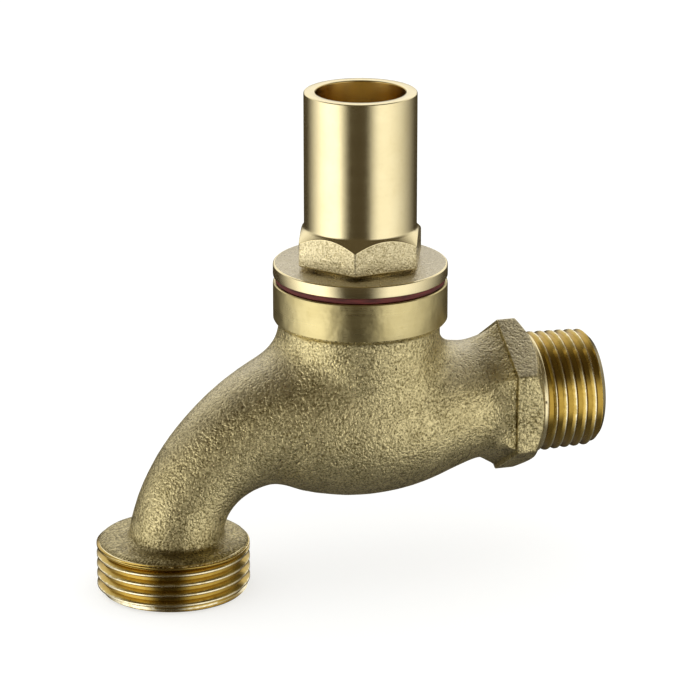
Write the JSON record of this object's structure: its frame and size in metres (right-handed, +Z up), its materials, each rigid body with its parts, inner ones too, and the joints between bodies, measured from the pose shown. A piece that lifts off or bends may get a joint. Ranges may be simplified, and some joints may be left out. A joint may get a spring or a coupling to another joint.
{
  "type": "hose bib",
  "caption": "Loose-key brass hose tap: threaded hexagonal inlet, curved cast spout with hose thread, and a bonnet tube that shrouds a square spindle.",
  "frame": {"origin": "centre of the inlet's threaded end face, on the inlet thread's axis", "axes": "+X out of the inlet, towards the pipe fitting that holds the tap; +Z up along the spindle; the spout reaches towards -X and its outlet faces -Z"},
  "size_m": [0.089, 0.03, 0.0856],
  "materials": {
    "cast_brass": "shot-blasted casting, with machined threads and collar",
    "turned_brass": "turned and lightly polished",
    "red_fibre": "vulcanised fibre, matte",
    "black_rubber": "moulded rubber",
    "white_nylon": "moulded nylon"
  },
  "bodies": {
    "valve": {"valve_body": "cast_brass", "bonnet": "turned_brass", "bonnet_washer": "red_fibre"},
    "jumper": {"jumper_valve": "turned_brass", "jumper_washer": "black_rubber", "jumper_nut": "turned_brass"},
    "spindle": {"spindle": "turned_brass", "thrust_washer": "white_nylon", "spindle_o_ring_lower": "black_rubber", "spindle_o_ring_upper": "black_rubber"}
  },
  "joints": [
    {"name": "spindle_turn", "type": "hinge", "parent": "jumper", "child": "spindle", "pos_m": [-0.042, 0, 0.03], "axis": [0, 0, 1], "range_deg": [0, 900]},
    {"name": "spindle_lift", "type": "slide", "parent": "valve", "child": "jumper", "axis": [0, 0, 1], "range_m": [0, 0.005]}
  ],
  "couplings": [
    {"joint": "spindle_lift", "follows": "spindle_turn", "m_per_rad": 0.00031831}
  ]
}
